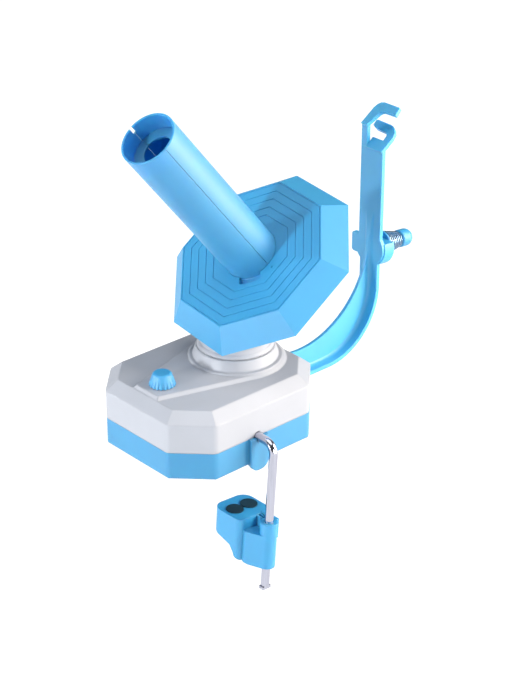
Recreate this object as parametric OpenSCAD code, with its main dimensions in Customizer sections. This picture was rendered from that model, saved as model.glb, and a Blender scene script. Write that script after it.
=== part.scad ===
// Electric ball winder: motor casing, turning turret with a tilted disc and
// winding tube, yarn arm with a sprung tension device, and a table clamp.
// Origin: centre of the casing's underside. +X points to the yarn arm,
// -Y to the long front face with the clamp rod, +Z up. Millimetres.

/* [Casing] */
// Length of the casing along X
case_l = 130; // [126:1:150]
// Width of the casing along Y
case_w = 110; // [106:1:130]
// Length cut off each corner, measured along the sides
corner_cut = 23; // [20:0.5:25]
// Height of the lower half, up to the parting line
lower_h = 20.6; // [19.6:0.1:23]
// Height of the upper half's upright wall
wall_h = 20.8; // [20:0.1:26]
// Height of the sloping band above the wall
band_h = 7; // [6:0.1:10]
// How far the band leans in
band_in = 8.3; // [5:0.1:9]
// Thickness of the walls
wall_t = 2.4; // [2:0.1:2.8]
// Thickness of the floor
floor_t = 2.6; // [2:0.1:3]
// Radius of the rounded bottom edge
bottom_r = 3; // [2.8:0.1:6]
// Radius of the casing's upright edges
edge_r = 6; // [3:0.5:8]

/* [Deck and collar] */
// Height of the raised deck
deck_h = 2.2; // [1.4:0.1:3]
// Radius of the deck's round part at its top
deck_r = 33.2; // [32:0.1:35]
// Distance from the middle to the deck's narrow end
deck_end = 54.6; // [53:0.1:56]
// Half width of the narrow end
deck_half = 11; // [10:0.1:14]
// Distance of the rotor axis from the middle
rotor_x = 24; // [23:0.1:25]
// Outer radius of the collar's wall at its foot
collar_r = 29.4; // [28.5:0.1:31]
// Height of the collar above the deck
collar_h = 8.5; // [6:0.1:10]
// Radius inside the collar
collar_in = 25.2; // [25:0.1:26]

/* [Speed knob] */
// Distance of the knob from the middle
knob_x = 41.5; // [40:0.1:43]
// Radius at the foot
knob_r = 9.25; // [8:0.05:10.5]
// Radius at the top
knob_top_r = 6.2; // [5.4:0.1:7]
// Height
knob_h = 9.1; // [8:0.1:12]
// Number of flutes
knob_flutes = 20; // [12:1:28]

/* [Turret and drive] */
// Height of the point where the rotor and spindle axes meet
apex_h = 139.3; // [138:0.1:141]
// Tilt of the spindle
tilt = 39.5; // [38.5:0.1:40.5]
// Radius of the fixed steel column
column_r = 6; // [5.5:0.1:6.3]
// Outer radius of the bushes on the column
bush_r = 8; // [7.6:0.1:8.4]
// Outer radius of the rotor's hub
hub_r = 10; // [9.6:0.1:10.4]
// Radius of the turret's foot
turret_r = 24.6; // [24:0.1:24.7]
// Radius of the turret's neck over the fixed gear
neck_r = 22.1; // [21.6:0.1:23]
// Height where the turret's foot ends and the hood begins
hood_z = 66; // [64:0.5:67]
// Wall of the turret
turret_t = 1.6; // [1.4:0.1:1.8]
// Teeth of the fixed bevel gear
sun_teeth = 22;
// Teeth of the spindle's bevel gear
planet_teeth = 25;
// Cone distance of the bevel pair
cone_d = 60; // [59:0.5:61]
// Face width of the bevel pair
cone_face = 8.5; // [7:0.5:8.5]
// Radius of the spindle shaft
spindle_r = 4; // [3:0.1:4.5]
// Outer radius of the spindle's bush
spindle_bush_r = 6; // [5.6:0.1:6.5]
// Radius of the tube around the spindle's bush
nose_r = 12; // [10:0.1:13]
// Teeth of the large gear on the hub
main_teeth = 72;
// Teeth of the idler's small gear
idler_teeth = 14;
// Module of that pair
main_module = 1;
// Teeth of the idler's large gear
wheel_teeth = 50;
// Teeth of the motor pinion
pinion_teeth = 10;
// Module of that pair
wheel_module = 0.8;
// Width of the large gear
main_w = 6; // [5:0.5:6]
// Radius of the motor
motor_r = 12.2; // [11:0.1:12.6]
// Height of the motor
motor_h = 21.6; // [18:0.1:21.8]

/* [Disc and tube] */
// Distance of the disc's face below the apex
disc_s = 21.4; // [20.6:0.1:22]
// Depth of the disc
disc_depth = 14.5; // [12:0.1:16]
// Corner radius of the disc's face
disc_face_r = 57.8; // [54:0.1:60]
// Corner radius of the disc's rear rim
disc_rim_r = 72.2; // [68:0.1:74]
// Thickness of the disc
disc_t = 2.2; // [1.8:0.1:2.4]
// Turn of the disc's corners about its axis
disc_turn = 16.7; // [0:0.1:45]
// Number of lines on the face
line_n = 5; // [3:1:5]
// Distance between the lines
line_pitch = 6; // [5:0.1:6]
// Width and depth of a line
line_w = 0.55; // [0.4:0.05:0.8]
// Outer radius of the winding tube
tube_r = 19.35; // [18.5:0.05:20]
// Wall of the winding tube
tube_t = 1.4; // [1.2:0.1:1.8]
// Distance of the tube's rim above the apex
tube_top = 114.65; // [100:0.5:120]
// Depth of the ledge below the rim
ledge_depth = 15; // [12:0.5:20]
// Gap of the seam between the two halves
seam = 0.24; // [0.1:0.02:0.4]

/* [Yarn arm] */
// Distance of the post's inner face from the middle
arm_x = 152.6; // [150:0.1:158]
// Height of the foot's upper face
arm_z = 17.4; // [17:0.1:18]
// Radius of the bend
arm_bend = 46.5; // [42:0.5:50]
// Thickness of the strap
strap_t = 3; // [2.4:0.1:3.4]
// Half width of the strap on the foot and bend
strap_half = 8.6; // [8:0.1:9]
// Half width of the post
post_half = 10.4; // [9.5:0.1:11]
// Thickness of the rib
rib_t = 2.6; // [2:0.1:3]
// Height of the hook's first fold
fold_z = 169.6; // [160:0.1:175]
// Backward bend of the hook from the vertical
hook_bend = 53; // [45:1:58]

/* [Tension device] */
// Height of the stud
stud_z = 92.1; // [90:0.1:96]
// Droop of the stud
stud_tilt = 5; // [0:0.5:6]
// Radius of the stud
stud_r = 1.5; // [1.2:0.05:1.8]
// Radius of the round pad on the arm
pad_r = 13.6; // [12.5:0.1:14]
// Length of the boss behind the pad
boss_l = 9.5; // [8:0.1:11]
// Radius of the spring at the washer
spring_r0 = 8.8; // [8:0.1:9.4]
// Radius of the spring at the cap
spring_r1 = 5.4; // [5:0.1:6]
// Length of the spring
spring_l = 16; // [15:0.5:20]
// Turns of the spring
spring_turns = 7; // [5:0.5:8]
// Radius of the spring's wire
wire_r = 0.55; // [0.4:0.05:0.6]
// Radius of the cap
cap_r = 6.5; // [6:0.1:7.5]
// Length of the cap
cap_l = 12.7; // [11:0.1:14]

/* [Table clamp] */
// Radius of the clamp rod
rod_r = 3; // [2.8:0.05:3.1]
// Offset of the rod from the middle
rod_x = -5.5; // [-7:0.1:-4]
// Distance of the rod's upright leg from the middle
rod_y = 71.3; // [70:0.1:74]
// Length of the upright leg below the elbow's axis
rod_l = 110.2; // [104:0.1:125]
// Radius of the elbow
elbow_r = 8; // [7:0.1:9]
// Lean of the upright leg
rod_lean = 4.1; // [0:0.1:6]
// Distance of the jaw's face below the elbow's axis
jaw_top = 59; // [52:0.5:64]
// Half width of the jaw's head
jaw_half = 15; // [14:0.1:17]
// Radius of the rubber pads
rubber_r = 6; // [5:0.1:6.2]

/* [Fits] */
// Running clearance on shafts, at the radius
run_c = 0.05; // [0.03:0.01:0.08]
// Clearance between parts that pass each other
pass_c = 0.3; // [0.2:0.05:0.4]
// Backlash on each tooth flank
backlash = 0.1; // [0.08:0.01:0.14]

/* [Hidden] */

white = [0.95, 0.95, 0.96];
blue = [0.36, 0.68, 0.89];
steel = [0.72, 0.74, 0.78];
bronze = [0.72, 0.52, 0.30];
dark = [0.12, 0.12, 0.14];

wall_z = lower_h + wall_h;
case_h = wall_z + band_h;
deck_z = case_h + deck_h;
roof_t = wall_t;
roof_z = case_h - roof_t;
well_r = 16.3;
diag_half = (case_l / 2 + case_w / 2 - corner_cut) / sqrt(2);
screw_x = case_l / 2 - 15;
screw_y = case_w / 2 - 18;
screw_boss_r = 3.5;
column_boss_z = 12.6;
washer_t = 1;
hub_z = column_boss_z + washer_t + 0.2;
hub_top = hood_z - 4;
gear_z = 34.5;
flange_z = gear_z + main_w;
flange_r = well_r - 0.8;
turret_z = case_h + 0.8;
pitch_a = atan(sin(tilt) / (planet_teeth / sun_teeth + cos(tilt)));
pitch_b = tilt - pitch_a;
sun_z = apex_h - cone_d * cos(pitch_a);
planet_s = cone_d * cos(pitch_b);
housing_r = cone_d * sin(pitch_b) + 3.9;
nose_s = disc_s + disc_t + 2.2;
main_r = main_module * main_teeth / 2;
idler_gap = main_module * (main_teeth + idler_teeth) / 2;
idler_a = 160;
idler_pos = [rotor_x + idler_gap * cos(idler_a), idler_gap * sin(idler_a)];
wheel_gap = wheel_module * (wheel_teeth + pinion_teeth) / 2;
wheel_a = 150;
motor_pos = [idler_pos[0] + wheel_gap * cos(wheel_a), idler_pos[1] + wheel_gap * sin(wheel_a)];
wheel_z = 26;
wheel_w = 5;
motor_z = floor_t;
plane_r = [disc_face_r * cos(22.5), disc_rim_r * cos(22.5)];
notch_half = 8;
notch_r = 24.6;
flange_s = disc_s + disc_t;
boss_face = arm_x + strap_t - 1;
washer_x = boss_l + 0.3;
spring_x = washer_x + 1.2 + wire_r;
cap_x = spring_x + spring_l + wire_r;
bend_c = [arm_x - arm_bend, arm_z + arm_bend];
tongue_half = 8;
tongue_out = 2.8;
tongue_low = 4.2;
rod_in = 22;
arm_in = 13;
board_at = [-30, -20];
jack_at = [-8, 10.5];
socket_r = 3.1;

// Shared shapes
// One pair of parallel sides of the casing: upright, rounded at the bottom
// and leaning in at the top.
function slab_side(d, zb, r, zw, zt, lean) = concat(
    [for (i = [0:6]) [d - r + r * sin(15 * i), zb + r - r * cos(15 * i)]],
    [[d, zw], [d - lean, zt]]);
module slab(turn, d, zb, r, zw, zt, lean) {
    right = slab_side(d, zb, r, zw, zt, lean);
    n = len(right);
    rotate([0, 0, turn]) rotate([90, 0, 0]) linear_extrude(height = 3 * case_l, center = true)
        polygon(concat(right, [for (i = [1:n]) [-right[n - i][0], right[n - i][1]]]));
}
module case_form(inset, zb, r, zw, zt, lean) intersection() {
    slab(0, case_l / 2 - inset, zb, r, zw, zt, lean);
    slab(90, case_w / 2 - inset, zb, r, zw, zt, lean);
    slab(45, diag_half - inset, zb, r, zw, zt, lean);
    slab(135, diag_half - inset, zb, r, zw, zt, lean);
}
// Rounded outline of the casing, one quarter at a time.
function edge_mid(a) = [a - edge_r, (diag_half - edge_r) * sqrt(2) - a + edge_r];
plan_quarter = concat([for (i = [0:4]) edge_mid(case_l / 2) + edge_r * [cos(11.25 * i), sin(11.25 * i)]],
    [for (i = [0:4]) let (m = edge_mid(case_w / 2))
        [m[1], m[0]] + edge_r * [cos(45 + 11.25 * i), sin(45 + 11.25 * i)]]);
function plan_turn(x, y) = [for (i = [0:9]) let (q = plan_quarter[x * y > 0 ? i : 9 - i]) [x * q[0], y * q[1]]];
module outside() intersection() {
    case_form(0, 0, bottom_r, wall_z, case_h, band_in);
    translate([0, 0, -1]) linear_extrude(height = case_h + 2)
        polygon(concat(plan_turn(1, 1), plan_turn(-1, 1), plan_turn(-1, -1), plan_turn(1, -1)));
}
module inside() case_form(wall_t, floor_t, bottom_r - wall_t, wall_z - 0.8, roof_z, band_in - 0.9);
module z_range(a, b) translate([-case_l, -case_w, a]) cube([2 * case_l, 2 * case_w, b - a]);

// Spur tooth, from root to tip and back, along an involute.
function inv(a) = tan(a) * 180 / PI - a;
function flank(rho, rp, n, bl) = 90 / n + inv(20) - bl / rp * 180 / PI
    - (rho > rp * cos(20) ? inv(acos(rp * cos(20) / rho)) : 0);
function tooth_radii(rp, m, add, ded) = [rp - ded * m, max(rp * cos(20), rp - 0.6 * ded * m) + 0.001,
    rp, rp + add * m];
function gear_points(n, m, add, ded, bl) = let (rp = m * n / 2, q = tooth_radii(rp, m, add, ded))
    [for (k = [0:n - 1]) for (j = [0:7])
        let (i = j < 4 ? j : 7 - j, s = j < 4 ? -1 : 1, a = k * 360 / n + s * flank(q[i], rp, n, bl))
        [q[i] * cos(a), q[i] * sin(a)]];
module gear_form(n, m, w, turn, bl) rotate([0, 0, turn])
    linear_extrude(height = w) polygon(gear_points(n, m, 0.8, 1.05, bl));

// Straight bevel gear with its apex at the origin and its teeth below it,
// drawn on the virtual spur gear and narrowed towards the apex.
function bevel_points(n, pa, d) = let (rv = d * tan(pa), m = 2 * d * sin(pa) / n, nv = n / cos(pa),
    q = tooth_radii(rv, m, 0.8, 1.05), dz = d * cos(pa))
    [for (k = [0:n - 1]) for (j = [0:7])
        let (i = j < 4 ? j : 7 - j, s = j < 4 ? -1 : 1,
            a = k * 360 / n + s * flank(q[i], rv, nv, backlash) / cos(pa),
            rr = dz * tan(pa + atan((q[i] - rv) / d)))
        [rr * cos(a), rr * sin(a)]];
module bevel_teeth(n, pa) {
    dz = cone_d * cos(pa);
    mirror([0, 0, 1]) translate([0, 0, dz]) mirror([0, 0, 1])
        linear_extrude(height = cone_face * cos(pa), scale = 1 - cone_face / cone_d)
            polygon(bevel_points(n, pa, cone_d));
}

// Frame of the spindle: origin at the apex, Z up along the tilted axis.
module spindle_frame() translate([rotor_x, 0, apex_h]) rotate([0, -tilt, 0]) children();
// Distances along the spindle are counted down from the apex.
module down(s) translate([0, 0, -s]) children();
// Frame of the tension stud: origin on the arm's back, X along the stud.
module stud_frame() translate([boss_face, 0, stud_z]) rotate([0, stud_tilt, 0]) children();
module along_x() rotate([0, 90, 0]) children();
// Frame of the clamp: origin on the rod's axis over the upright leg.
module clamp_frame() translate([rod_x, -rod_y, lower_h]) rotate([0, rod_lean, 0]) children();
module screw(head_r, head_h, r, l) {
    translate([0, 0, -head_h]) cylinder(h = head_h, r = head_r, $fn = 24);
    cylinder(h = l, r = r, $fn = 24);
}

// Casing
module rod_hole() translate([rod_x, 0, lower_h]) rotate([90, 0, 0])
    translate([0, 0, case_w / 2 - 6]) cylinder(h = 14, r = rod_r + pass_c, $fn = 40);
module arm_hole() translate([case_l / 2 - 6, 0, 0]) {
    translate([0, -strap_half - pass_c, arm_z - strap_t - pass_c])
        cube([12, 2 * (strap_half + pass_c), strap_t + 2 * pass_c]);
    translate([0, -rib_t / 2 - pass_c, arm_z])
        cube([12, rib_t + 2 * pass_c, 17]);
    translate([0, -rib_t / 2 - 3.2 - pass_c, arm_z]) cube([12, rib_t + 6.4 + 2 * pass_c, 0.9]);
    translate([0, -rib_t / 2 - 1.6 - pass_c, arm_z]) cube([12, rib_t + 3.2 + 2 * pass_c, 3.3]);
}
module tongue() intersection() {
    translate([rod_x, 0, 0]) rotate([90, 0, 0]) linear_extrude(height = case_w) hull() {
        translate([-tongue_half, lower_h - 6]) square([2 * tongue_half, 6]);
        for (s = [-1, 1]) translate([s * (tongue_half - 7), 7 - tongue_low]) circle(r = 7, $fn = 48);
    }
    rotate([90, 0, 90]) translate([0, 0, rod_x - 15]) linear_extrude(height = 30)
        polygon([[-case_w / 2 - tongue_out, -tongue_low], [-case_w / 2 - tongue_out, lower_h],
            [-case_w / 2 + wall_t, lower_h], [-case_w / 2 + wall_t, 1], [-case_w / 2, 0],
            [-case_w / 2, -tongue_low]]);
}
module lower_case() color(blue) difference() {
    union() {
        difference() {
            intersection() { outside(); z_range(-1, lower_h); }
            inside();
        }
        intersection() {
            case_form(wall_t / 2 + 0.1, 0, bottom_r, wall_z, case_h, band_in);
            difference() {
                z_range(lower_h - 1, lower_h + 2);
                inside();
            }
        }
        tongue();
        translate([rotor_x, 0, floor_t - 0.1])
            cylinder(h = column_boss_z - floor_t + 0.1, r = column_r + 4, $fn = 64);
        for (k = [0:5]) translate([rotor_x, 0, 0]) rotate([0, 0, 30 + 60 * k])
            translate([column_r + 3, -0.8, floor_t - 0.1]) cube([8, 1.6, 6]);
        for (sx = [-1, 1]) for (sy = [-1, 1]) translate([sx * screw_x, sy * screw_y, floor_t - 0.1])
            cylinder(h = lower_h - floor_t, r = screw_boss_r + 0.3, $fn = 32);
        translate([idler_pos[0], idler_pos[1], floor_t - 0.1])
            cylinder(h = wheel_z - floor_t - 0.4, r = 4.6, $fn = 32);
        for (sx = [-1, 1]) for (sy = [-1, 1])
            translate([board_at[0] + sx * 13, board_at[1] + sy * 8, floor_t - 0.1])
                cylinder(h = 3.5, r = 2, $fn = 20);
        translate([rod_x - 8, -case_w / 2 + wall_t - 0.1, floor_t - 0.1])
            cube([16, 13.1, lower_h - rod_r - 3.4 - floor_t]);
        translate([case_l / 2 - arm_in - 2, -5, floor_t - 0.1])
            cube([arm_in, 10, arm_z - strap_t - floor_t + 0.1]);
    }
    rod_hole();
    arm_hole();
    translate([rotor_x, 0, floor_t + 1]) cylinder(h = 30, r = column_r, $fn = 64);
    for (sx = [-1, 1]) for (sy = [-1, 1]) translate([sx * screw_x, sy * screw_y, 0]) {
        translate([0, 0, -1]) cylinder(h = 7, r = 3, $fn = 24);
        cylinder(h = lower_h, r = 1.7, $fn = 24);
    }
    translate([idler_pos[0], idler_pos[1], wheel_z - 14]) cylinder(h = 30, r = 2, $fn = 24);
    translate([jack_at[0], case_w / 2 + 1, jack_at[1]]) rotate([90, 0, 0])
        cylinder(h = wall_t + 2, r = 4.5, $fn = 40);
    translate([case_l / 2 - arm_in + 4, 0, -1]) {
        cylinder(h = 7, r = 3.1, $fn = 24);
        cylinder(h = 30, r = 1.7, $fn = 24);
    }
}
module deck() translate([0, 0, case_h - 0.5]) hull() {
    translate([rotor_x, 0, 0]) cylinder(h = 0.5, r = deck_r + deck_h, $fn = 96);
    translate([rotor_x, 0, 0.5]) cylinder(h = deck_h, r1 = deck_r + deck_h, r2 = deck_r, $fn = 96);
    translate([-deck_end - deck_h * 0.8, -deck_half - deck_h * 0.8, 0])
        cube([1, 2 * (deck_half + deck_h * 0.8), 0.5]);
    translate([-deck_end, -deck_half, 0]) cube([1, 2 * deck_half, 0.5 + deck_h]);
}
module collar() translate([rotor_x, 0, deck_z]) rotate_extrude($fn = 128) polygon(concat(
    [[collar_in - 1, -1.5], [deck_r - 0.3, -1.5], [deck_r - 0.3, 0.4], [deck_r - 0.7, 1],
        [deck_r - 1.5, 1.25], [collar_r + 0.5, 1.25], [collar_r, 1.9]],
    [for (i = [0:4]) [collar_r - 2.8 + 1.3 * cos(22.5 * i), collar_h - 1.3 + 1.3 * sin(22.5 * i)]],
    [[collar_in + 0.5, collar_h], [collar_in, collar_h - 0.5], [collar_in, 0], [collar_in - 1, 0]]));
module upper_bosses() {
    for (sx = [-1, 1]) for (sy = [-1, 1]) translate([sx * screw_x, sy * screw_y, lower_h])
        cylinder(h = case_h, r = screw_boss_r, $fn = 32);
    translate([idler_pos[0], idler_pos[1], flange_z + 0.8]) cylinder(h = case_h, r = 4, $fn = 32);
}
module upper_case() color(white) {
    difference() {
        union() {
            intersection() { outside(); z_range(lower_h, case_h + 1); }
            deck();
            collar();
        }
        difference() {
            inside();
            upper_bosses();
        }
        intersection() {
            case_form(wall_t / 2 - 0.05, 0, bottom_r, wall_z, case_h, band_in);
            difference() {
                z_range(lower_h - 1, lower_h + 2.2);
                upper_bosses();
            }
        }
        translate([rotor_x, 0, case_h]) cylinder(h = 40, r = collar_in, $fn = 128);
        translate([rotor_x, 0, roof_z - 1]) cylinder(h = 40, r = well_r, $fn = 96);
        translate([-knob_x, 0, roof_z - 1]) cylinder(h = 20, r = 3.5, $fn = 40);
        rod_hole();
        arm_hole();
        translate([idler_pos[0], idler_pos[1], flange_z]) cylinder(h = roof_z - flange_z, r = 2, $fn = 24);
        for (sx = [-1, 1]) for (sy = [-1, 1]) translate([sx * screw_x, sy * screw_y, lower_h - 1])
            cylinder(h = 13, r = 1.4, $fn = 24);
    }
}
module case_screws() color(steel)
    for (sx = [-1, 1]) for (sy = [-1, 1]) translate([sx * screw_x, sy * screw_y, 6])
        screw(2.8, 2, 1.4, lower_h + 5);

// Drive
module centre_column() color(steel) translate([rotor_x, 0, floor_t + 1])
    cylinder(h = sun_z + cone_face + 1.5 - floor_t - 1, r = column_r, $fn = 64);
module sun_bevel() color(bronze) difference() {
    union() {
        translate([rotor_x, 0, apex_h]) bevel_teeth(sun_teeth, pitch_a);
        translate([rotor_x, 0, hub_top + 2]) cylinder(h = sun_z - hub_top - 1.9, r = column_r + 4, $fn = 48);
    }
    translate([rotor_x, 0, hub_top]) cylinder(h = 60, r = column_r, $fn = 64);
    translate([rotor_x, 0, sun_z + 3]) cylinder(h = 60, r = column_r + 3, $fn = 48);
}
module motor() color(steel) translate([motor_pos[0], motor_pos[1], motor_z]) difference() {
    union() {
        cylinder(h = motor_h - 1.2, r = motor_r, $fn = 64);
        cylinder(h = motor_h, r = 3.1, $fn = 40);
        translate([0, 0, 1]) cylinder(h = 5, r = motor_r + 0.2, $fn = 64);
    }
    translate([0, 0, 2]) cylinder(h = 40, r = 1 + run_c, $fn = 32);
}
module motor_shaft() color(steel) translate([motor_pos[0], motor_pos[1], motor_z + 2.4])
    cylinder(h = wheel_z + wheel_w - motor_z - 2, r = 1, $fn = 32);
module motor_pinion() color(bronze) translate([motor_pos[0], motor_pos[1], wheel_z - 0.5]) difference() {
    gear_form(pinion_teeth, wheel_module, wheel_w + 1, 180 + wheel_a - 180 / pinion_teeth, backlash);
    translate([0, 0, -1]) cylinder(h = 20, r = 1, $fn = 32);
}
module idler_axle() color(steel) translate([idler_pos[0], idler_pos[1], wheel_z - 14])
    cylinder(h = roof_z - 0.2 - wheel_z + 14, r = 2, $fn = 24);
module idler_gear() color(white) translate([idler_pos[0], idler_pos[1], 0]) difference() {
    union() {
        translate([0, 0, wheel_z]) gear_form(wheel_teeth, wheel_module, wheel_w, wheel_a, backlash);
        translate([0, 0, wheel_z + wheel_w - 0.1])
            cylinder(h = gear_z - wheel_z - wheel_w + 0.2, r = 5.6, $fn = 48);
        translate([0, 0, gear_z - 0.3])
            gear_form(idler_teeth, main_module, main_w + 0.6, 180 + idler_a - 180 / idler_teeth, backlash);
    }
    translate([0, 0, wheel_z - 1]) cylinder(h = 30, r = 2 + run_c, $fn = 40);
    for (s = [0, 1]) translate([0, 0, s ? wheel_z + wheel_w - 1.5 : wheel_z - 1]) difference() {
        cylinder(h = 2.5, r = 17, $fn = 64);
        translate([0, 0, -1]) cylinder(h = 6, r = 7, $fn = 48);
    }
}

// Turning turret
module thrust_washer() color(bronze) translate([rotor_x, 0, column_boss_z]) difference() {
    cylinder(h = washer_t, r = column_r + 3.6, $fn = 48);
    translate([0, 0, -1]) cylinder(h = 4, r = column_r, $fn = 64);
}
module rotor_base() color(white) translate([rotor_x, 0, 0]) difference() {
    union() {
        translate([0, 0, hub_z]) cylinder(h = hub_top - hub_z, r = hub_r, $fn = 64);
        translate([0, 0, flange_z]) cylinder(h = turret_z - flange_z + 1, r = flange_r, $fn = 64);
        translate([0, 0, turret_z]) difference() {
            cylinder(h = hood_z - turret_z, r = turret_r, $fn = 96);
            translate([0, 0, 2]) cylinder(h = 40, r = turret_r - turret_t, $fn = 96);
        }
        for (k = [0:5]) rotate([0, 0, 60 * k]) translate([hub_r - 1, -0.8, turret_z + 1])
            cube([turret_r - turret_t / 2 - hub_r + 1, 1.6, 6]);
        translate([0, 0, deck_z + collar_h + pass_c + 0.2]) difference() {
            cylinder(h = 2.4, r1 = collar_in + 1.6, r2 = turret_r + 0.3, $fn = 96);
            translate([0, 0, -1]) cylinder(h = 5, r = turret_r - turret_t / 2, $fn = 96);
        }
    }
    translate([0, 0, hub_z - 1]) cylinder(h = 60, r = bush_r, $fn = 64);
    for (k = [0:2]) rotate([0, 0, 120 * k]) translate([(hub_r + flange_r) / 2, 0, flange_z - 1])
        cylinder(h = 6, r = 1.2, $fn = 24);
    translate([0, 0, flange_z + 3]) difference() {
        cylinder(h = turret_z - flange_z - 3, r = flange_r - 1.8, $fn = 64);
        translate([0, 0, -1]) cylinder(h = 20, r = hub_r, $fn = 64);
        for (k = [0:2]) rotate([0, 0, 120 * k]) translate([(hub_r + flange_r) / 2, 0, -1])
            cylinder(h = 20, r = 2.4, $fn = 24);
    }
}
module main_gear() color(white) translate([rotor_x, 0, gear_z]) difference() {
    gear_form(main_teeth, main_module, main_w, idler_a, backlash);
    translate([0, 0, -1]) cylinder(h = 20, r = hub_r, $fn = 64);
    for (k = [0:2]) rotate([0, 0, 120 * k]) translate([(hub_r + flange_r) / 2, 0, -1])
        cylinder(h = 20, r = 1.2, $fn = 24);
    for (s = [0, 1]) translate([0, 0, s ? main_w - 1.8 : -1]) difference() {
        cylinder(h = 2.8, r = main_r - 4, $fn = 96);
        translate([0, 0, -1]) cylinder(h = 6, r = flange_r, $fn = 64);
    }
    for (k = [0:5]) rotate([0, 0, 60 * k + 30]) translate([(main_r + flange_r) / 2 - 1.5, 0, -1])
        cylinder(h = 20, r = 5, $fn = 40);
}
module rotor_screws() color(steel) for (k = [0:2]) translate([rotor_x, 0, gear_z]) rotate([0, 0, 120 * k])
    translate([(hub_r + flange_r) / 2, 0, 0]) screw(2.3, 1.5, 1.2, main_w + 4.5);
module hub_bushes() color(bronze) for (z = [hub_z, hub_top - 10]) translate([rotor_x, 0, z]) difference() {
    cylinder(h = 10, r = bush_r, $fn = 64);
    translate([0, 0, -1]) cylinder(h = 12, r = column_r + run_c, $fn = 64);
}
module hood_form(t) difference() {
    hull() {
        translate([rotor_x, 0, hood_z + (t > 0 ? 0.9 : 0)]) cylinder(h = 1, r = turret_r - t, $fn = 64);
        translate([rotor_x, 0, hood_z]) cylinder(h = sun_z + 12 - hood_z, r = neck_r - t, $fn = 64);
        spindle_frame() down(planet_s + 4 - t) cylinder(h = 14.5 - 2 * t, r = housing_r - t, $fn = 64);
    }
    spindle_frame() down(disc_s + disc_t + 1 + t) translate([-90, -50, 0]) cube([150, 100, 60]);
}
module nose() spindle_frame() down(planet_s - 8) cylinder(h = planet_s - 8 - nose_s, r = nose_r, $fn = 64);
module rotor_hood() color(white) difference() {
    union() {
        hood_form(0);
        nose();
        translate([rotor_x, 0, hood_z - 3]) cylinder(h = 4, r = turret_r - turret_t - 0.1, $fn = 96);
    }
    difference() {
        hood_form(turret_t);
        nose();
    }
    translate([rotor_x, 0, hood_z - 4]) cylinder(h = 5, r = turret_r - turret_t - 1.4, $fn = 96);
    spindle_frame() down(planet_s) cylinder(h = planet_s, r = spindle_bush_r, $fn = 64);
}
module spindle_bush() color(bronze) spindle_frame() down(planet_s - 12) difference() {
    cylinder(h = planet_s - 12 - nose_s, r = spindle_bush_r, $fn = 64);
    translate([0, 0, -1]) cylinder(h = 60, r = spindle_r + run_c, $fn = 64);
}

// Spindle, disc and winding tube
module spindle_shaft() color(steel) spindle_frame() down(planet_s + 1) difference() {
    cylinder(h = planet_s + 1 - disc_s + 1, r = spindle_r, $fn = 64);
    translate([0, 0, planet_s + 2 - disc_s - 9]) cylinder(h = 20, r = 1.6, $fn = 24);
}
module planet_bevel() color(bronze) spindle_frame() difference() {
    union() {
        bevel_teeth(planet_teeth, pitch_b);
        down(planet_s + 1.2) cylinder(h = 3, r = spindle_r + 4, $fn = 48);
    }
    down(planet_s + 10) cylinder(h = 60, r = spindle_r, $fn = 64);
}
module spindle_screw() color(steel) spindle_frame() down(disc_s - 2.4)
    mirror([0, 0, 1]) screw(5.5, 2.6, 1.6, 9);
module octagon(r) rotate([0, 0, disc_turn]) circle(r = r, $fn = 8);
module octa_cone(s0, r0, s1, r1) down(s1)
    linear_extrude(height = s1 - s0, scale = r0 / r1) octagon(r1);
module yarn_disc() color(blue) spindle_frame() difference() {
    octa_cone(disc_s, disc_face_r, disc_s + disc_depth, disc_rim_r);
    difference() {
        octa_cone(disc_s + disc_t, disc_face_r - 1.2, disc_s + disc_depth + 0.01, disc_rim_r - 2.1);
        down(disc_s + disc_t + 1) cylinder(h = 4, r = tube_r + 7, $fn = 96);
    }
    down(disc_s + 20) cylinder(h = 40, r = tube_r + 0.15, $fn = 96);
    down(disc_s + disc_t + 1.2) cylinder(h = 1.2, r = tube_r + 4.15, $fn = 96);
    for (i = [0:line_n - 1]) down(disc_s + 0.4) linear_extrude(height = 2) difference() {
        octagon(disc_face_r - (0.9 + i * line_pitch) / cos(22.5));
        octagon(disc_face_r - (0.9 + line_w + i * line_pitch) / cos(22.5));
    }
    rotate([0, 0, disc_turn + 202.5]) down(disc_s + disc_t + 0.1) intersection() {
        translate([0, -notch_half, 0]) cube([40, 2 * notch_half, 5]);
        cylinder(h = 5, r = notch_r, $fn = 96);
    }
    rotate([0, 0, disc_turn + 247.5]) translate([tube_r + 4.4, 0, -disc_s - 0.8])
        cylinder(h = 3, r = 0.7, $fn = 16);
}
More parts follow.
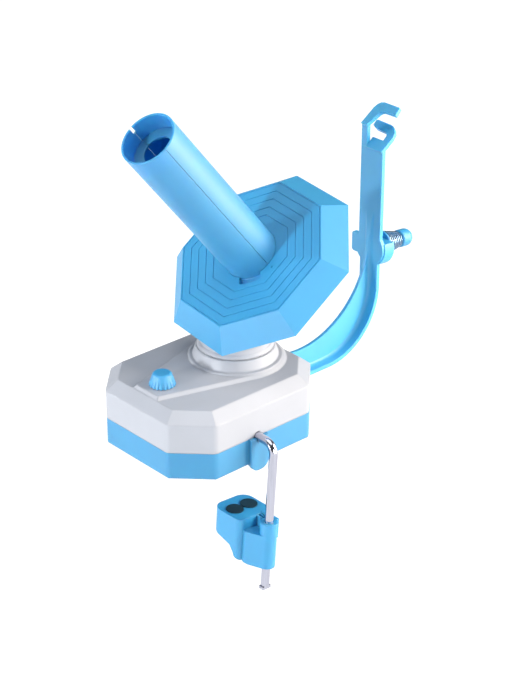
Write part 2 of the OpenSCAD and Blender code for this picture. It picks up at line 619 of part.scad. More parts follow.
// One half of the winding tube; side is 1 or -1.
module tube_half(side) spindle_frame() rotate([0, 0, disc_turn + 247.5]) difference() {
    union() {
        down(flange_s + 1.2) difference() {
            cylinder(h = tube_top + flange_s + 1.2, r = tube_r, $fn = 128);
            translate([0, 0, 2.4]) cylinder(h = 400, r = tube_r - tube_t, $fn = 128);
        }
        down(flange_s + 1.2) cylinder(h = 1.2, r = tube_r + 4, $fn = 96);
        down(disc_s + 1) cylinder(h = 3.4, r = spindle_r + 4, $fn = 64);
        translate([0, 0, tube_top - ledge_depth]) difference() {
            cylinder(h = 1.6, r = tube_r - tube_t + 0.2, $fn = 128);
            translate([0, 0, -1]) cylinder(h = 4, r = tube_r * 0.55, $fn = 64);
        }
        if (side > 0) for (z = [0, tube_top * 0.6]) for (s = [-1, 1])
            translate([s * (tube_r - tube_t - 1), 0, z]) rotate([90, 0, 0])
                translate([0, 0, -1.6]) cylinder(h = 4.6, r = 1, $fn = 24);
    }
    down(disc_s + 20) cylinder(h = 21, r = spindle_r, $fn = 64);
    down(disc_s + 20) cylinder(h = 30, r = 1.7, $fn = 24);
    translate([-60, side > 0 ? -80 - (-seam / 2) : -seam / 2, -60])
        cube([120, 80, 240]);
    translate([-tube_r - 2, -1.1, tube_top - 5]) cube([6, 2.2, 10]);
}
module tube_half_a() color(blue) tube_half(1);
module tube_half_b() color(blue) tube_half(-1);

// Speed control
knob_lean = (knob_r - knob_top_r) / knob_h;
module speed_knob() color(blue) translate([-knob_x, 0, deck_z + 0.3]) difference() {
    rotate_extrude($fn = 80) polygon([[0, 0], [knob_r, 0], [knob_r - 1.4 * knob_lean, 1.4],
        [knob_top_r + 1.4 * knob_lean, knob_h - 1.4], [knob_top_r - 0.1, knob_h - 0.6],
        [knob_top_r - 0.8, knob_h - 0.15], [knob_top_r - 1.7, knob_h], [0, knob_h]]);
    for (k = [0:knob_flutes - 1]) rotate([0, 0, k * 360 / knob_flutes])
        translate([knob_r + 0.3, 0, -0.2]) rotate([0, -atan(knob_lean - 1.2 / knob_h), 0])
            cylinder(h = knob_h + 3, r = 1.05, $fn = 16);
    translate([0, 0, -1]) cylinder(h = knob_h - 1.4, r = 3, $fn = 40);
    translate([0, 0, -0.1]) difference() {
        cylinder(h = 2.1, r = knob_r - 2, $fn = 64);
        translate([0, 0, -1]) cylinder(h = 9, r = 4.6, $fn = 40);
    }
}
module pot_shaft() color(steel) translate([-knob_x, 0, roof_z - 6])
    cylinder(h = deck_z - roof_z + 6 + 0.3 + knob_h - 2.4, r = 3, $fn = 40);
module speed_pot() color(dark) translate([-knob_x, 0, roof_z]) difference() {
    union() {
        translate([0, 0, -8]) cylinder(h = 8, r = 8, $fn = 48);
        cylinder(h = deck_z - roof_z - 0.4, r = 3.5, $fn = 40);
        translate([-5, 6, -7]) cube([10, 5, 1.2]);
    }
    translate([0, 0, -7]) cylinder(h = 40, r = 3 + run_c, $fn = 40);
}
module control_board() color("darkgreen") translate([board_at[0], board_at[1], floor_t + 3.4]) {
    difference() {
        translate([-16, -11, 0]) cube([32, 22, 1.6]);
        for (sx = [-1, 1]) for (sy = [-1, 1]) translate([sx * 13, sy * 8, -1]) cylinder(h = 4, r = 1, $fn = 20);
    }
    translate([-6, 2, 1.5]) cylinder(h = 9, r = 4, $fn = 32);
    translate([3, -6, 1.5]) cube([8, 3, 8]);
    translate([-10, -7, 1.5]) cube([7, 5, 2]);
}
module dc_jack() color(dark) translate([jack_at[0], case_w / 2 - wall_t, jack_at[1]]) difference() {
    union() {
        translate([-4.5, -12, -5.5]) cube([9, 12, 11]);
        rotate([-90, 0, 0]) cylinder(h = wall_t - 0.2, r = 4.2, $fn = 40);
        translate([-4.5, -10, -(jack_at[1] - floor_t)]) cube([9, 8, 4]);
    }
    rotate([-90, 0, 0]) translate([0, 0, -8.6]) difference() {
        cylinder(h = 30, r = socket_r, $fn = 40);
        translate([0, 0, -1]) cylinder(h = 9, r = 1, $fn = 32);
    }
}

// Yarn arm
module arm_profile() polygon([[0, -strap_half], [0, -rib_t / 2 - 2.6], [-0.8, -rib_t / 2 - 0.9],
    [-2.2, -rib_t / 2 + 0.2], [-2.2, rib_t / 2 - 0.2], [-0.8, rib_t / 2 + 0.9], [0, rib_t / 2 + 2.6],
    [0, strap_half], [strap_t, strap_half], [strap_t, -strap_half]]);
module arm_side(h) rotate([90, 0, 0]) linear_extrude(height = h, center = true) children();
module arm_sweep() {
    translate([case_l / 2 - arm_in, 0, arm_z]) rotate([0, 90, 0])
        linear_extrude(height = bend_c[0] - case_l / 2 + arm_in) arm_profile();
    translate([bend_c[0], 0, bend_c[1]]) rotate([90, 0, 0]) rotate([0, 0, -90])
        rotate_extrude(angle = 90, $fn = 160) translate([arm_bend, 0]) arm_profile();
    translate([arm_x, 0, bend_c[1]]) linear_extrude(height = stud_z - bend_c[1] + 30) arm_profile();
}
// The rib fills the bow between the strap and a wide arc.
rib_end = arm_x - 1.5;
module rib_outline() difference() {
    union() {
        translate([case_l / 2 - arm_in, arm_z - 0.5])
            square([bend_c[0] - case_l / 2 + arm_in, arm_bend + 0.5]);
        translate([case_l / 2, bend_c[1]]) square([arm_x + 0.5 - case_l / 2, stud_z + 30 - bend_c[1]]);
        intersection() {
            translate(bend_c) circle(r = arm_bend + 0.5, $fn = 180);
            translate([bend_c[0], arm_z - 0.5]) square(arm_bend + 1);
        }
    }
    translate([rib_end - 67, 100]) circle(r = 67, $fn = 180);
    translate([0, 100]) square([rib_end, 200]);
    translate([case_l / 2 - arm_in - 1, arm_z + 10]) square([arm_in + 0.7, 90]);
}
module hook_plate(z) translate([arm_x + 0.05, 0, z]) rotate([0, hook_bend, 0]) rotate([90, 0, 90])
    linear_extrude(height = strap_t) children();
module yarn_arm() color(blue) {
    difference() {
        union() {
            difference() {
                union() {
                    arm_sweep();
                    arm_side(rib_t) rib_outline();
                }
                arm_side(20) polygon([[arm_x - 9, stud_z + 2], [arm_x - 2.3, stud_z + 2],
                    [arm_x, stud_z + 29], [arm_x, stud_z + 31], [arm_x - 9, stud_z + 31]]);
            }
            translate([arm_x, 0, 0]) rotate([90, 0, 90]) linear_extrude(height = strap_t) {
                translate([-post_half, stud_z]) square([2 * post_half, fold_z - stud_z]);
                translate([0, stud_z]) circle(r = pad_r, $fn = 96);
                translate([5, fold_z - 1]) square([post_half - 5, 17]);
                translate([12, stud_z - 7.5]) hull() {
                    translate([0, 0]) square([1, 15]);
                    translate([3.2, 2]) circle(r = 2, $fn = 24);
                    translate([3.2, 13]) circle(r = 2, $fn = 24);
                }
            }
            stud_frame() along_x() intersection() {
                cylinder(h = boss_l, r = pad_r + 0.6, $fn = 96);
                translate([-5.5, -20, -1]) cube([40, 40, boss_l + 2]);
            }
            hook_plate(fold_z) polygon([[4.8, -1.6], [-post_half + 0.06, -1.6], [-10.6, 11.5],
                [-9.6, 15.5], [-7.1, 18.5], [-4.6, 20], [-2, 20.5], [11, 20.9], [12, 20], [11.7, 15.8], [7.7, 14.3], [-2.2, 13.6],
                [-4, 12.8], [-4.9, 11], [-5, 7.1], [5, 7.1]]);
            hook_plate(fold_z + 16) polygon([[5.06, -1.6], [post_half - 0.06, -1.6], [9.5, 13],
                [8.4, 16.4], [6.6, 18.5], [4, 19.4], [-10.6, 19.3], [-11.8, 12.7], [-1.1, 12.6], [0.6, 12], [1.7, 10.4]]);
        }
        stud_frame() along_x() cylinder(h = 40, r = stud_r, $fn = 40);
        translate([case_l / 2 - arm_in + 4, 0, 0]) cylinder(h = 22, r = 1.4, $fn = 24);
    }
}
module arm_screw() color(steel) translate([case_l / 2 - arm_in + 4, 0, 6])
    screw(2.8, 2, 1.4, arm_z - 4);

// Tension device
module tension_stud() color(steel) stud_frame() along_x()
    translate([0, 0, 0]) cylinder(h = cap_x + cap_l - 4, r = stud_r, $fn = 40);
module tension_washer() color(blue) stud_frame() along_x() translate([0, 0, washer_x]) difference() {
    cylinder(h = 1.2, r = spring_r0 + 1.2, $fn = 64);
    translate([0, 0, -1]) cylinder(h = 4, r = stud_r + run_c, $fn = 40);
}
ring_n = ceil(8 * spring_turns);
function curl(i) = let (f = i / ring_n, a = 360 * spring_turns * f)
    [spring_l * f, (spring_r0 + (spring_r1 - spring_r0) * f) * cos(a),
        (spring_r0 + (spring_r1 - spring_r0) * f) * sin(a), a];
function curl_ring(i) = let (c = curl(i)) [for (k = [0:5]) let (b = 60 * k)
    [c[0] + wire_r * sin(b), c[1] + wire_r * cos(b) * cos(c[3]), c[2] + wire_r * cos(b) * sin(c[3])]];
curl_points = [for (i = [0:ring_n]) each curl_ring(i)];
curl_gap = min([for (i = [0:ring_n - 8]) min([for (j = [i + 7:min(i + 10, ring_n)])
    min([for (a = [0:5]) min([for (b = [0:5]) norm(curl_points[6 * i + a] - curl_points[6 * j + b])])])])]);
echo(spring_gap = curl_gap);
module tension_spring() color(steel) stud_frame() translate([spring_x, 0, 0]) polyhedron(curl_points, concat(
    [for (i = [0:ring_n - 1]) for (k = [0:5]) let (a = 6 * i + k, b = 6 * i + (k + 1) % 6)
        each [[a, a + 6, b], [b, a + 6, b + 6]]],
    [for (k = [1:4]) [0, k, k + 1]],
    [for (k = [1:4]) [6 * ring_n, 6 * ring_n + k + 1, 6 * ring_n + k]]));
module tension_cap() color(blue) stud_frame() along_x() translate([0, 0, cap_x]) difference() {
    rotate_extrude($fn = 64) polygon(concat([[0, 0], [cap_r - 0.8, 0], [cap_r, 0.8]],
        [for (i = [0:9]) [cap_r * cos(10 * i), cap_l - cap_r + cap_r * sin(10 * i)]], [[0, cap_l]]));
    translate([0, 0, -1]) cylinder(h = cap_l - 3, r = stud_r, $fn = 40);
}

// Table clamp
module clamp_rod() color(steel) clamp_frame() difference() {
    union() {
        translate([0, elbow_r, 0]) rotate([-90, 0, 0])
            cylinder(h = rod_y - elbow_r - case_w / 2 + rod_in, r = rod_r, $fn = 48);
        translate([0, elbow_r, -elbow_r]) rotate([0, 90, 0]) rotate([0, 0, 180])
            rotate_extrude(angle = 90, $fn = 96) translate([elbow_r, 0]) circle(r = rod_r, $fn = 48);
        translate([0, 0, -rod_l]) cylinder(h = rod_l - elbow_r, r = rod_r, $fn = 48);
        translate([-rod_r - 0.5, -rod_r * 0.7, -rod_l]) cube([2 * rod_r + 1, rod_r * 1.4, 2]);
    }
    translate([-rod_r - 1, -0.5, -rod_l - 1]) cube([2 * rod_r + 2, 1, 4]);
    for (s = [-1, 1]) translate([-6, s > 0 ? rod_r * 0.7 : -rod_r * 0.7 - 5, -rod_l - 1]) cube([12, 5, 6]);
    translate([0, rod_y - case_w / 2 + rod_in - 5, 0]) rotate([-90, 0, 0]) difference() {
        cylinder(h = 1.1, r = 8, $fn = 32);
        translate([0, 0, -1]) cylinder(h = 4, r = rod_r - 0.6, $fn = 40);
    }
}
module rod_bush() color(dark) translate([rod_x, -case_w / 2 + wall_t + 0.1, lower_h]) difference() {
    translate([-7, 0, -rod_r - 3.4]) cube([14, 12.8, 2 * rod_r + 6.8]);
    rotate([-90, 0, 0]) translate([0, 0, -1]) cylinder(h = 20, r = rod_r + run_c, $fn = 48);
}
module rod_clip() color(steel) clamp_frame() translate([0, rod_y - case_w / 2 + rod_in - 5 + 0.05, 0])
    rotate([-90, 0, 0]) difference() {
        cylinder(h = 1, r = rod_r + 2.4, $fn = 40);
        translate([0, 0, -1]) cylinder(h = 4, r = rod_r - 0.6, $fn = 40);
        translate([-1.4, 0, -1]) cube([2.8, 9, 4]);
    }
module jaw_side(x0, x1) rotate([90, 0, 90]) translate([0, 0, x0]) linear_extrude(height = x1 - x0) children();
module clamp_jaw() color(blue) clamp_frame() translate([0, 0, -jaw_top]) difference() {
    union() {
        intersection() {
            translate([0, 0, -45]) linear_extrude(height = 45) hull() {
                for (s = [-1, 1]) {
                    translate([s * (jaw_half - 8), 33]) circle(r = 8, $fn = 48);
                    translate([s * (jaw_half - 4), 17]) circle(r = 4, $fn = 48);
                }
            }
            jaw_side(-20, 20) polygon([[12, 0], [41, 0], [41, -13], [39.6, -15.8], [36, -18.4], [22, -22],
                [18.6, -26], [17, -29], [12, -32]]);
        }
        intersection() {
            translate([0, 0, -33.3]) linear_extrude(height = 33.3) hull() {
                circle(r = 6, $fn = 48);
                translate([-11, 11]) square([22, 8]);
            }
            jaw_side(-20, 20) polygon([[-7, -8.4], [13.5, -8.4], [13.5, -0.01], [17.5, -0.01], [17.5, -26.6],
                [14.6, -30.4], [12, -32.3], [8, -33.3], [-7, -33.3]]);
        }
        translate([0, 0, -33.3]) cylinder(h = 33.8, r = 5.9, $fn = 48);
        translate([5.6, -1, -14]) cube([2.8, 15, 14.6]);
        for (x = [1, 3.6, 6.2]) translate([x, 9, -12]) cube([1.2, 4.2, 11.4]);
    }
    translate([0, 0, -60]) cylinder(h = 80, r = rod_r + 0.08, $fn = 48);
    for (s = [-1, 1]) translate([s * 6.4, 27.4, -2.6]) cylinder(h = 4, r = rubber_r, $fn = 48);
}
module jaw_pads() color(dark) clamp_frame() translate([0, 0, -jaw_top]) for (s = [-1, 1])
    translate([s * 6.4, 27.4, -2.6]) cylinder(h = 3.4, r = rubber_r, $fn = 48);

lower_case();
upper_case();
case_screws();
centre_column();
sun_bevel();
motor();
motor_shaft();
motor_pinion();
idler_axle();
idler_gear();
thrust_washer();
rotor_base();
main_gear();
rotor_screws();
hub_bushes();
rotor_hood();
spindle_bush();
spindle_shaft();
planet_bevel();
spindle_screw();
yarn_disc();
tube_half_a();
tube_half_b();
speed_knob();
pot_shaft();
speed_pot();
control_board();
dc_jack();
yarn_arm();
arm_screw();
tension_stud();
tension_washer();
tension_spring();
tension_cap();
clamp_rod();
rod_bush();
rod_clip();
clamp_jaw();
jaw_pads();
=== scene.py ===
import bpy
import math
from mathutils import Matrix, Vector


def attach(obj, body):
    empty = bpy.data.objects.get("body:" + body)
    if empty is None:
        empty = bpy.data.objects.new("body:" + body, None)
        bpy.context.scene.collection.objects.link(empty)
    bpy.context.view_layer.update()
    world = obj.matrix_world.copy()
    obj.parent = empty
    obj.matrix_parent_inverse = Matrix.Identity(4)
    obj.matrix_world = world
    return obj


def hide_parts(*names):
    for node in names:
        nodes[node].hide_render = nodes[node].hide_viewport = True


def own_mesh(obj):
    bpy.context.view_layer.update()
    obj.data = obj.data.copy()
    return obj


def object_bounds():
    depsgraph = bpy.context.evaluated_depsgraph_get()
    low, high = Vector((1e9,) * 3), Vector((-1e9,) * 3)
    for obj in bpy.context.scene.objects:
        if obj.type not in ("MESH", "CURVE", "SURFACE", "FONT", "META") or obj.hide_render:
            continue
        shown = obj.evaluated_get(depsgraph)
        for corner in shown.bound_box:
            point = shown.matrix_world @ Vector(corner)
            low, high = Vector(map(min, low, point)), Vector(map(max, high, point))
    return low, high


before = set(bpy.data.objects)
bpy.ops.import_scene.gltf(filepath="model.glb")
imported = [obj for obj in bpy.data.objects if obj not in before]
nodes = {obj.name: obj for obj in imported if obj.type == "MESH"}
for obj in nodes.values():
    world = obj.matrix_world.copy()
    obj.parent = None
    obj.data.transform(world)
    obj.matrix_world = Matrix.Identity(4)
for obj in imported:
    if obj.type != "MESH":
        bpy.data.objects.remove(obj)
cadBox = [list(c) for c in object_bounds()]
print("frame loaded:", len(nodes), "nodes")


def link(tree, source, target):
    tree.links.new(source, target)


# Camera, set at the photograph's viewing angle
cameraLook = {"place": (-0.75858, -0.87814, 0.66594), "azimuth": -42.46, "elevation": 27.32,
              "roll": 0.18, "lens": 134.52, "filmWidth": 36, "near": 0.01, "far": 100}


def makeCamera(look):
    data = bpy.data.cameras.new("camera")
    data.sensor_fit = "HORIZONTAL"
    data.sensor_width = look["filmWidth"]
    data.lens = look["lens"]
    data.clip_start, data.clip_end = look["near"], look["far"]
    az, el, roll = (math.radians(look[k]) for k in ("azimuth", "elevation", "roll"))
    back = Vector((math.sin(az) * math.cos(el), -math.cos(az) * math.cos(el), math.sin(el)))
    right = Vector((math.cos(az), math.sin(az), 0))
    up = back.cross(right)
    x = right * math.cos(roll) + up * math.sin(roll)
    y = up * math.cos(roll) - right * math.sin(roll)
    turn = Matrix((x, y, back)).transposed().to_4x4()
    camera = bpy.data.objects.new("camera", data)
    camera.matrix_world = Matrix.Translation(look["place"]) @ turn
    bpy.context.scene.collection.objects.link(camera)
    bpy.context.scene.camera = camera


makeCamera(cameraLook)
print("camera made")


# Light: a dim surround, two broad warm lamps from the long side and four cooler fills
worldLook = {"colour": (0.90, 0.94, 1.0), "strength": 0.16, "darkStrength": 0.05,
             "darkTowards": (-0.68, -0.73, 0.0), "fadeFrom": 0.35, "fadeTo": 0.95}
aim = (0.03, 0, 0.07)
warm = (1.0, 0.90, 0.79)
plain = (1, 1, 1)
lamps = {
    "key": {"power": 26, "size": 0.9, "place": (0.9, -0.8, 0.6), "colour": warm},
    "edge": {"power": 19, "size": 0.9, "place": (0.86, -0.98, 0.05), "colour": warm},
    "left": {"power": 13, "size": 0.12, "place": (-1.25, 0.04, 0.26), "colour": plain},
    "leftBack": {"power": 6, "size": 0.12, "place": (-1.0, 0.8, 0.25), "colour": plain},
    "top": {"power": 12, "size": 1.6, "place": (-0.1, 0.0, 1.3), "colour": plain},
    "front": {"power": 7, "size": 0.6, "place": (-0.3, -1.3, 0.35), "colour": plain},
}


def makeWorld(look):
    world = bpy.data.worlds.new("softSurround")
    world.use_nodes = True
    tree = world.node_tree
    shader = tree.nodes["Background"]
    shader.inputs["Color"].default_value = (*look["colour"], 1)
    # the surround is darker on one side, which gives the steel something to mirror
    where = tree.nodes.new("ShaderNodeTexCoord")
    dot = tree.nodes.new("ShaderNodeVectorMath")
    dot.operation = "DOT_PRODUCT"
    dot.inputs[1].default_value = look["darkTowards"]
    fade = tree.nodes.new("ShaderNodeMapRange")
    fade.interpolation_type = "SMOOTHSTEP"
    fade.inputs["From Min"].default_value = look["fadeFrom"]
    fade.inputs["From Max"].default_value = look["fadeTo"]
    fade.inputs["To Min"].default_value = look["strength"]
    fade.inputs["To Max"].default_value = look["darkStrength"]
    link(tree, where.outputs["Generated"], dot.inputs[0])
    link(tree, dot.outputs["Value"], fade.inputs["Value"])
    link(tree, fade.outputs["Result"], shader.inputs["Strength"])
    bpy.context.scene.world = world


def areaLight(name, lamp):
    data = bpy.data.lights.new(name, "AREA")
    data.shape = "DISK"
    data.size = lamp["size"]
    data.energy = lamp["power"]
    data.color = lamp["colour"]
    light = bpy.data.objects.new(name, data)
    light.visible_camera = False
    light.location = lamp["place"]
    light.rotation_mode = "QUATERNION"
    light.rotation_quaternion = (Vector(aim) - Vector(lamp["place"])).to_track_quat("-Z", "Y")
    bpy.context.scene.collection.objects.link(light)


makeWorld(worldLook)
for name, lamp in lamps.items():
    areaLight(name + "Lamp", lamp)
bpy.context.scene.view_settings.view_transform = "Standard"
print("lights made")


# Floor, with a low edge far away and a wall above it that hide the horizon
floorLook = {"colour": (0.12, 0.12, 0.123), "radius": 12, "edge": 0.88, "wall": 6, "corners": 64,
             "drop": 0.0004, "glow": 1.0, "rough": 0.9, "gloss": 0.1}


def floorPaint(look):
    material = bpy.data.materials.new("paleFloor")
    material.use_nodes = True
    shader = material.node_tree.nodes["Principled BSDF"]
    shader.inputs["Base Color"].default_value = (*look["colour"], 1)
    shader.inputs["Roughness"].default_value = look["rough"]
    shader.inputs["Specular IOR Level"].default_value = look["gloss"]
    shader.inputs["Emission Color"].default_value = (1, 1, 1, 1)
    shader.inputs["Emission Strength"].default_value = look["glow"]
    return material


def floorPiece(name, points, faces, material, height):
    data = bpy.data.meshes.new(name)
    data.from_pydata(points, [], faces)
    data.materials.append(material)
    piece = bpy.data.objects.new(name, data)
    piece.location.z = height
    bpy.context.scene.collection.objects.link(piece)
    return piece


def makeFloor(look, height):
    paint = floorPaint(look)
    count = look["corners"]
    turns = [2 * math.pi * i / count for i in range(count)]
    ring = [(look["radius"] * math.cos(t), look["radius"] * math.sin(t)) for t in turns]
    low = [(x, y, z) for z in (0, look["edge"]) for x, y in ring]
    high = [(x, y, z) for z in (look["edge"], look["edge"] + look["wall"]) for x, y in ring]
    sides = [(i, i + count, (i + 1) % count + count, (i + 1) % count) for i in range(count)]
    floor = floorPiece("floor", low, [tuple(range(count))] + sides, paint, height - look["drop"])
    # the camera sees the wall, but it lights nothing
    wall = floorPiece("farWall", high, sides, paint, height - look["drop"])
    wall.visible_diffuse = wall.visible_glossy = wall.visible_shadow = False


makeFloor(floorLook, cadBox[0][2])
print("floor made")


# Finishes. In plastics grain is the size of the moulded texture in metres, drift how far the
# colour wanders, edge how wide sharp corners shade as rounded, and bleed and reach the share
# and the depth of the light that passes through thin walls.
blue = {"colour": (0.004, 0.245, 0.495), "rough": 0.56, "grain": 0.0006, "bump": 0.05,
        "drift": 0.03, "coat": 0.8, "gloss": 0.6}
plastics = {
    # the white's colour leans blue: a painted bluish shade tint, which the warm lamps take back off
    # the lit faces
    "whitePlastic": {"colour": (0.345, 0.366, 0.412), "rough": 0.48, "grain": 0.0006,
                     "bump": 0.05, "drift": 0.02, "coat": 0.15, "gloss": 0.5, "edge": 0.0018},
    "bluePlastic": {**blue, "bleed": 0.35, "reach": 0.003, "edge": 0.0012},
    # the lower case's copy of the blue is darker than the rest: painted shade that tones down its
    # side faces
    "basePlasticPaintedShade": {**blue, "colour": (0.004, 0.212, 0.43), "bleed": 0.35, "reach": 0.003,
                    "edge": 0.0012},
    # the arm's copy of the blue is lighter than the rest: painted light, since the arm is the same
    # plastic, only more lit
    "armPlasticPaintedLight": {**blue, "colour": (0.02, 0.33, 0.60), "bleed": 0.5, "reach": 0.004,
                   "edge": 0.0008},
    # the tube's copy of the blue is darker than the rest: painted shade that tones down its lit
    # side
    "tubePlasticPaintedShade": {**blue, "colour": (0.012, 0.212, 0.44), "bleed": 0.6, "reach": 0.008},
    "linedPlastic": {**blue, "bleed": 0.25, "reach": 0.002},
    "gearPlastic": {"colour": (0.74, 0.75, 0.74), "rough": 0.45, "grain": 0.0008, "bump": 0.04,
                    "drift": 0.03, "coat": 0.0, "gloss": 0.5},
    "darkPlastic": {"colour": (0.03, 0.033, 0.037), "rough": 0.5, "grain": 0.0007,
                    "bump": 0.10, "drift": 0.2, "coat": 0.0, "gloss": 0.5},
    "padRubber": {"colour": (0.006, 0.028, 0.045), "rough": 0.72, "grain": 0.0005,
                  "bump": 0.25, "drift": 0.25, "coat": 0.0, "gloss": 0.15},
}
everyPlastic = {"colourScale": 38, "roughScale": 160, "smoother": 0.05, "rougher": 0.06,
                "bumpDepth": 0.0002, "coatRough": 0.55, "coatIor": 1.6,
                "bleedColour": (0.15, 0.6, 1.0), "edgeSamples": 4}
metals = {
    "chromeSteel": {"colour": (0.52, 0.53, 0.62), "rough": 0.12, "streak": 0.04, "scale": 900,
                    "along": 0.02},
    "plainSteel": {"colour": (0.55, 0.56, 0.58), "rough": 0.28, "streak": 0.10, "scale": 1400,
                   "along": 0.05},
    # the spring's steel colour is dark and blue: painted shade between the coils, so that they
    # stand apart
    "springSteel": {"colour": (0.26, 0.38, 0.52), "rough": 0.16, "streak": 0.06,
                    "scale": 1400, "along": 1.0},
    "sinteredBronze": {"colour": (0.60, 0.38, 0.16), "rough": 0.42, "streak": 0.12,
                       "scale": 2600, "along": 1.0},
}
everyMetal = {"darkest": 0.93, "lightest": 1.05, "bump": 0.05, "bumpDepth": 0.0001}
boardLook = {"dark": (0.006, 0.07, 0.03), "light": (0.02, 0.16, 0.07), "from": 0.48, "to": 0.52,
             "traceScale": 420, "traceStretch": (1, 0.2, 1), "roughScale": 500,
             "smooth": 0.3, "rough": 0.5}


def noise(tree, scale, detail=3.0, stretch=(1, 1, 1)):
    where = tree.nodes.new("ShaderNodeTexCoord")
    mapping = tree.nodes.new("ShaderNodeMapping")
    mapping.inputs["Scale"].default_value = stretch
    texture = tree.nodes.new("ShaderNodeTexNoise")
    texture.inputs["Scale"].default_value = scale
    texture.inputs["Detail"].default_value = detail
    link(tree, where.outputs["Object"], mapping.inputs["Vector"])
    link(tree, mapping.outputs["Vector"], texture.inputs["Vector"])
    return texture.outputs["Fac"]


def ramp(tree, source, dark, light, low=0.35, high=0.65):
    node = tree.nodes.new("ShaderNodeValToRGB")
    first, last = node.color_ramp.elements
    first.position, last.position = low, high
    first.color, last.color = (*dark, 1), (*light, 1)
    link(tree, source, node.inputs["Fac"])
    return node.outputs["Color"]


def spread(tree, source, low, high):
    node = tree.nodes.new("ShaderNodeMapRange")
    node.inputs["To Min"].default_value, node.inputs["To Max"].default_value = low, high
    link(tree, source, node.inputs["Value"])
    return node.outputs["Result"]


def newMaterial(name):
    material = bpy.data.materials.new(name)
    material.use_nodes = True
    return material, material.node_tree, material.node_tree.nodes["Principled BSDF"]


def shade(colour, factor):
    return [min(1, v * factor) for v in colour]


def mouldedPlastic(name, look):
    material, tree, shader = newMaterial(name)
    every = everyPlastic
    broad = noise(tree, every["colourScale"], 4)
    dark, light = shade(look["colour"], 1 - look["drift"]), shade(look["colour"], 1 + look["drift"])
    link(tree, ramp(tree, broad, dark, light), shader.inputs["Base Color"])
    low, high = look["rough"] - every["smoother"], look["rough"] + every["rougher"]
    patches = noise(tree, every["roughScale"], 4)
    link(tree, spread(tree, patches, low, high), shader.inputs["Roughness"])
    bump = tree.nodes.new("ShaderNodeBump")
    bump.inputs["Strength"].default_value = look["bump"]
    bump.inputs["Distance"].default_value = every["bumpDepth"]
    if "edge" in look:
        corner = tree.nodes.new("ShaderNodeBevel")
        corner.samples = every["edgeSamples"]
        corner.inputs["Radius"].default_value = look["edge"]
        link(tree, corner.outputs["Normal"], bump.inputs["Normal"])
    link(tree, noise(tree, 1 / look["grain"], 2), bump.inputs["Height"])
    link(tree, bump.outputs["Normal"], shader.inputs["Normal"])
    shader.inputs["Coat Weight"].default_value = look["coat"]
    shader.inputs["Coat Roughness"].default_value = every["coatRough"]
    shader.inputs["Coat IOR"].default_value = every["coatIor"]
    shader.inputs["Specular IOR Level"].default_value = look["gloss"]
    if "bleed" in look:
        shader.inputs["Subsurface Weight"].default_value = look["bleed"]
        shader.inputs["Subsurface Radius"].default_value = every["bleedColour"]
        shader.inputs["Subsurface Scale"].default_value = look["reach"]
    return material


def turnedMetal(name, look):
    material, tree, shader = newMaterial(name)
    every = everyMetal
    shader.inputs["Metallic"].default_value = 1.0
    fine = noise(tree, look["scale"], 3, (1, 1, look["along"]))
    dark, light = shade(look["colour"], every["darkest"]), shade(look["colour"], every["lightest"])
    link(tree, ramp(tree, fine, dark, light), shader.inputs["Base Color"])
    low, high = look["rough"] - look["streak"] / 2, look["rough"] + look["streak"] / 2
    link(tree, spread(tree, fine, low, high), shader.inputs["Roughness"])
    bump = tree.nodes.new("ShaderNodeBump")
    bump.inputs["Strength"].default_value = every["bump"]
    bump.inputs["Distance"].default_value = every["bumpDepth"]
    link(tree, fine, bump.inputs["Height"])
    link(tree, bump.outputs["Normal"], shader.inputs["Normal"])
    return material


def circuitBoard(name, look):
    material, tree, shader = newMaterial(name)
    traces = noise(tree, look["traceScale"], 3, look["traceStretch"])
    colours = ramp(tree, traces, look["dark"], look["light"], look["from"], look["to"])
    link(tree, colours, shader.inputs["Base Color"])
    patches = noise(tree, look["roughScale"])
    link(tree, spread(tree, patches, look["smooth"], look["rough"]), shader.inputs["Roughness"])
    return material


made = {name: mouldedPlastic(name, look) for name, look in plastics.items()}
made.update({name: turnedMetal(name, look) for name, look in metals.items()})
made["circuitBoard"] = circuitBoard("circuitBoard", boardLook)

wearers = {
    "whitePlastic": ["upper_case", "rotor_hood", "rotor_base"],
    "basePlasticPaintedShade": ["lower_case"],
    "armPlasticPaintedLight": ["yarn_arm"],
    "bluePlastic": ["tension_cap", "tension_washer", "clamp_jaw"],
    "tubePlasticPaintedShade": ["tube_half_a", "tube_half_b"],
    "linedPlastic": ["yarn_disc", "speed_knob"],
    "gearPlastic": ["main_gear", "idler_gear"],
    "darkPlastic": ["dc_jack", "rod_bush", "speed_pot"],
    "padRubber": ["jaw_pads"],
    "chromeSteel": ["clamp_rod", "tension_stud", "arm_screw"],
    "springSteel": ["tension_spring"],
    "plainSteel": ["case_screws", "motor", "motor_shaft", "idler_axle", "spindle_shaft",
                   "spindle_screw", "rotor_screws", "pot_shaft", "rod_clip", "centre_column"],
    "sinteredBronze": ["hub_bushes", "spindle_bush", "thrust_washer", "motor_pinion",
                       "sun_bevel", "planet_bevel"],
    "circuitBoard": ["control_board"],
}


def dress(name, material):
    data = nodes[name].data
    data.materials.clear()
    data.materials.append(material)


for material, names in wearers.items():
    for name in names:
        dress(name, made[material])
undressed = sorted(set(nodes) - {n for names in wearers.values() for n in names})
print("finishes on; nodes without one:", undressed)


# The tension spring with a round wire
springLook = {"start": (0.166106, 0, 0.0910934), "along": (0.9961947, 0, -0.0871557),
              "up": (0.0871557, 0, 0.9961947), "length": 0.016, "wideRadius": 0.0088,
              "endRadius": 0.0054, "turns": 7, "wire": 0.00055, "steps": 24, "sides": 10,
              "travel": 0.0015}


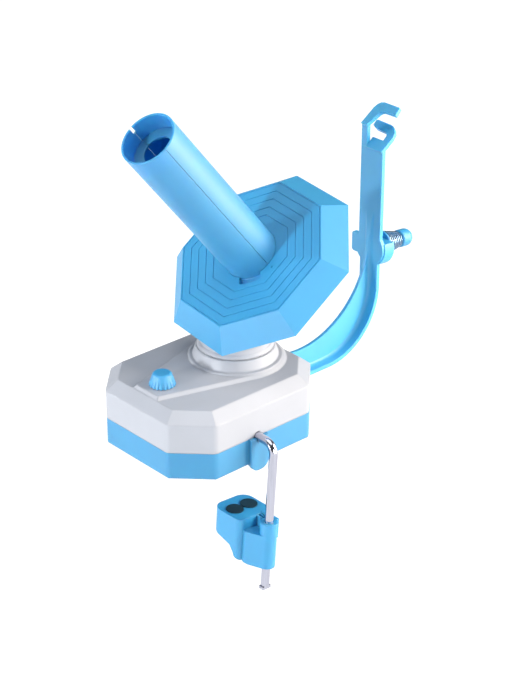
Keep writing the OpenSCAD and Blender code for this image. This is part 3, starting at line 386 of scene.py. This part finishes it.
def coilSpring(look):
    start, along, up = (Vector(look[k]) for k in ("start", "along", "up"))
    side = Vector((0, 1, 0))
    count, sides = look["turns"] * look["steps"], look["sides"]
    points, faces = [], []
    for i in range(count + 1):
        share = i / count
        turn = 2 * math.pi * look["turns"] * share
        outward = side * math.cos(turn) + up * math.sin(turn)
        radius = look["wideRadius"] + (look["endRadius"] - look["wideRadius"]) * share
        middle = start + along * look["length"] * share + outward * radius
        for k in range(sides):
            b = 2 * math.pi * k / sides
            points.append(middle + (along * math.sin(b) + outward * math.cos(b)) * look["wire"])
    for i in range(count):
        for k in range(sides):
            a, b = sides * i + k, sides * i + (k + 1) % sides
            faces.append((a, a + sides, b + sides, b))
    # both ends of the wire are closed
    faces.append(tuple(range(sides)))
    faces.append(tuple(reversed(range(sides * count, sides * count + sides))))
    data = bpy.data.meshes.new("springCoil")
    data.from_pydata([tuple(p) for p in points], [], faces)
    for face in data.polygons:
        face.use_smooth = len(face.vertices) == 4
    data.materials.append(made["springSteel"])
    spring = bpy.data.objects.new("springCoil", data)
    bpy.context.scene.collection.objects.link(spring)
    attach(spring, "case")
    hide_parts("tension_spring")
    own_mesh(spring)


coilSpring(springLook)
print("spring made")


# Softened edges, widths in metres
softEdges = {"lower_case": 0.0009, "upper_case": 0.0009, "yarn_arm": 0.0006, "clamp_jaw": 0.0009,
             "tube_half_a": 0.0002, "tube_half_b": 0.0002, "yarn_disc": 0.0004,
             "rotor_hood": 0.0004, "speed_knob": 0.0003, "tension_cap": 0.0005}
everyEdge = {"weld": 0.00002, "steps": 3, "flatterThan": 28}


def softenEdges(name, width):
    piece = nodes[name]
    weld = piece.modifiers.new("weld", "WELD")
    weld.merge_threshold = everyEdge["weld"]
    bevel = piece.modifiers.new("softEdge", "BEVEL")
    bevel.width = width
    bevel.segments = everyEdge["steps"]
    bevel.limit_method = "ANGLE"
    bevel.angle_limit = math.radians(everyEdge["flatterThan"])
    bevel.use_clamp_overlap = True
    bevel.harden_normals = False
    normals = piece.modifiers.new("evenNormals", "WEIGHTED_NORMAL")
    normals.keep_sharp = True


for name, width in softEdges.items():
    softenEdges(name, width)
print("edges softened")
